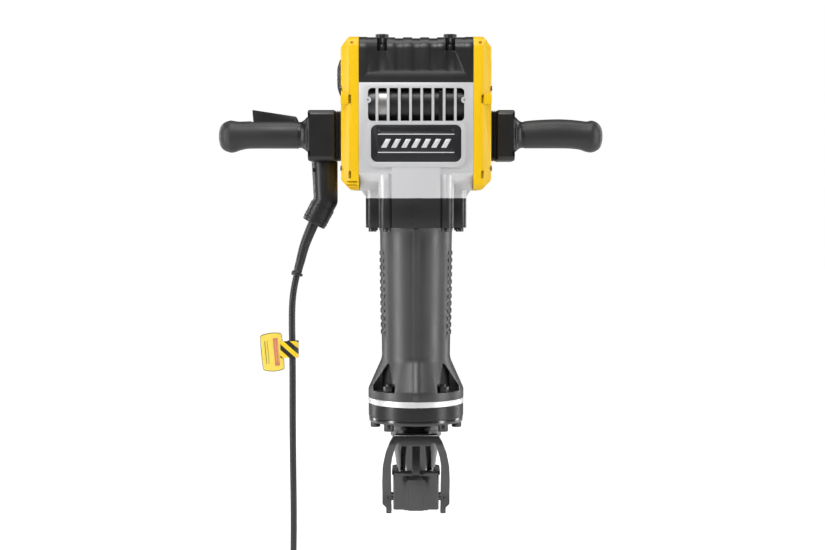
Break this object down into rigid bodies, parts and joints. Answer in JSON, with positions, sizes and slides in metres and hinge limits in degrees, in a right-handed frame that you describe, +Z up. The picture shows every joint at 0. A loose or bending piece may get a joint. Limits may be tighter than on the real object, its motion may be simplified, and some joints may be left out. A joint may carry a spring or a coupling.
{
  "type": "demolition hammer",
  "caption": "Upright electric demolition hammer with side grips, hexagonal tool socket, swing-down tool latch and hanging mains lead.",
  "frame": {"origin": "mouth of the hexagonal tool socket, on the socket's axis", "axes": "+Z up along the hammer's axis, +X towards the plain right-hand grip seen from the nameplate side, -Y is the nameplate side"},
  "size_m": [0.6375, 0.2162, 1.0799],
  "materials": {
    "silver_paint": "satin fine-texture silver-grey paint on an aluminium casting",
    "black_plastic": "fine-grained black moulded plastic",
    "yellow_plastic": "satin yellow moulded plastic",
    "dark_steel": "black-oxide fastener steel",
    "badge_black": null,
    "black_paint": "semi-gloss black paint on a casting",
    "charcoal_paint": "satin charcoal paint on a casting",
    "ground_steel": "ground hardened steel",
    "bright_steel": "bright turned steel",
    "black_iron": "glossy black over a forged, slightly uneven surface",
    "lamination": "stacked varnished steel sheets",
    "copper_wire": "enamelled copper wire",
    "cast_aluminium": "raw die-cast aluminium",
    "brass": "drawn brass",
    "bronze": "bearing bronze",
    "rubber": "matt black moulded rubber",
    "spring_steel": "oiled spring wire",
    "gear_steel": "hardened gear steel",
    "grip_rubber": "soft-touch dark grey rubber",
    "cord_rubber": "black rubber cable sheath",
    "tag_yellow": null
  },
  "bodies": {
    "root": {"upper_housing": "silver_paint", "top_cover": "black_plastic", "left_side_cover": "yellow_plastic", "right_side_cover": "yellow_plastic", "small_screws": "dark_steel", "cap_screws": "dark_steel", "vent_cap": "black_plastic", "nameplate": "badge_black", "collar": "black_paint", "barrel": "charcoal_paint", "cylinder_liner": "ground_steel", "nose_bolts": "dark_steel", "spacer_ring": "bright_steel", "nose_flange": "black_paint", "nose": "black_iron", "tool_sleeve": "ground_steel", "motor_stator": "lamination", "field_windings": "copper_wire", "end_shield": "cast_aluminium", "brush_gear": "brass", "bearings": "ground_steel", "gear_plate": "cast_aluminium", "roller_guide": "ground_steel", "beat_bush": "bronze", "buffer_ring": "rubber", "handle_brackets": "dark_steel", "left_bellows": "rubber", "right_bellows": "rubber", "left_springs": "spring_steel", "right_springs": "spring_steel"},
    "rotor": {"rotor_core": "lamination", "rotor_windings": "copper_wire", "commutator": "copper_wire", "rotor_shaft": "ground_steel", "fan": "black_plastic"},
    "intermediate": {"intermediate_gear": "gear_steel", "intermediate_shaft": "gear_steel"},
    "crank": {"crank_gear": "gear_steel", "crankshaft": "gear_steel"},
    "slider": {"slider_block": "bronze"},
    "roller": {"guide_roller": "ground_steel"},
    "yoke": {"yoke_rod": "gear_steel", "wrist_pin": "ground_steel", "piston": "cast_aluminium"},
    "ram": {"ram": "ground_steel"},
    "beat": {"beat_piece": "ground_steel"},
    "latch": {"latch": "black_iron", "latch_pins": "dark_steel"},
    "left_handle": {"left_handle_block": "black_plastic", "left_grip": "grip_rubber", "handle_switch": "black_plastic", "cord_outlet": "black_plastic", "strain_relief": "rubber", "cord": "cord_rubber", "cord_coil": "cord_rubber", "plug": "cord_rubber", "cord_tag": "tag_yellow"},
    "lever": {"switch_lever": "black_plastic"},
    "right_handle": {"right_handle_block": "black_plastic", "right_grip": "grip_rubber"}
  },
  "joints": [
    {"name": "crank_spin", "type": "hinge", "parent": "root", "child": "crank", "pos_m": [0, 0, 0.6105], "axis": [1, 0, 0], "continuous": true},
    {"name": "intermediate_spin", "type": "hinge", "parent": "root", "child": "intermediate", "pos_m": [0, 0, 0.6745], "axis": [1, 0, 0], "continuous": true},
    {"name": "rotor_spin", "type": "hinge", "parent": "root", "child": "rotor", "pos_m": [0, 0, 0.717], "axis": [1, 0, 0], "continuous": true},
    {"name": "slider_turn", "type": "hinge", "parent": "crank", "child": "slider", "pos_m": [0, 0, 0.5915], "axis": [1, 0, 0], "continuous": true},
    {"name": "roller_turn", "type": "hinge", "parent": "crank", "child": "roller", "pos_m": [0, 0, 0.601], "axis": [1, 0, 0], "continuous": true},
    {"name": "yoke_guide", "type": "hinge", "parent": "roller", "child": "yoke", "pos_m": [0, 0, 0.5915], "axis": [1, 0, 0], "continuous": true},
    {"name": "ram_slide", "type": "slide", "parent": "root", "child": "ram", "axis": [0, 0, 1], "range_m": [0, 0.085]},
    {"name": "beat_slide", "type": "slide", "parent": "root", "child": "beat", "axis": [0, 0, 1], "range_m": [0, 0.008]},
    {"name": "latch_swing", "type": "hinge", "parent": "root", "child": "latch", "pos_m": [0, 0, 0.017], "axis": [1, 0, 0], "range_deg": [0, 180]},
    {"name": "left_handle_float", "type": "slide", "parent": "root", "child": "left_handle", "axis": [0, 0, 1], "range_m": [-0.0045, 0.0045], "stiffness_N_per_m": 40000, "deforming": ["left_springs", "left_bellows"]},
    {"name": "right_handle_float", "type": "slide", "parent": "root", "child": "right_handle", "axis": [0, 0, 1], "range_m": [-0.0045, 0.0045], "stiffness_N_per_m": 40000, "deforming": ["right_springs", "right_bellows"]},
    {"name": "switch_press", "type": "hinge", "parent": "left_handle", "child": "lever", "pos_m": [-0.199, 0, 0.643], "axis": [0, -1, 0], "range_deg": [0, 8], "stiffness_Nm_per_rad": 2}
  ],
  "couplings": [
    {"joint": "intermediate_spin", "follows": "crank_spin", "ratio": -3.9231},
    {"joint": "rotor_spin", "follows": "crank_spin", "ratio": 16.598},
    {"joint": "slider_turn", "follows": "crank_spin", "ratio": -1},
    {"joint": "roller_turn", "follows": "crank_spin", "ratio": -2},
    {"joint": "yoke_guide", "follows": "crank_spin", "ratio": 1}
  ]
}
